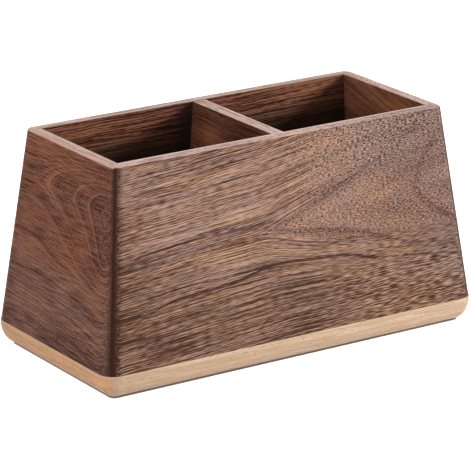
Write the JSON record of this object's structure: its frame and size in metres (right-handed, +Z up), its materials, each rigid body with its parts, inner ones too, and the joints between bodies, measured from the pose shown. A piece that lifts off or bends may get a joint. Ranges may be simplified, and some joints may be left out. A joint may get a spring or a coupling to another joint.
{
  "type": "pen holder",
  "caption": "Tapered walnut pen holder: leaning mitred walls and a fixed cross divider make open compartments on a pale base plate with a rounded-over underside.",
  "frame": {"origin": "on the surface it stands on, under the middle of the base plate", "axes": "+X along the length towards the right end, +Y towards the back wall, +Z up out of the mouth"},
  "size_m": [0.2006, 0.1006, 0.103],
  "materials": {
    "walnut": "oiled, satin",
    "beech": "oiled, satin",
    "joinery": "bare"
  },
  "bodies": {
    "root": {"front_wall": "walnut", "back_wall": "walnut", "left_wall": "walnut", "right_wall": "walnut", "divider": "walnut", "base_plate": "beech", "spline_front_left": "joinery", "spline_front_right": "joinery", "spline_back_left": "joinery", "spline_back_right": "joinery", "base_dowels": "joinery"}
  },
  "joints": []
}
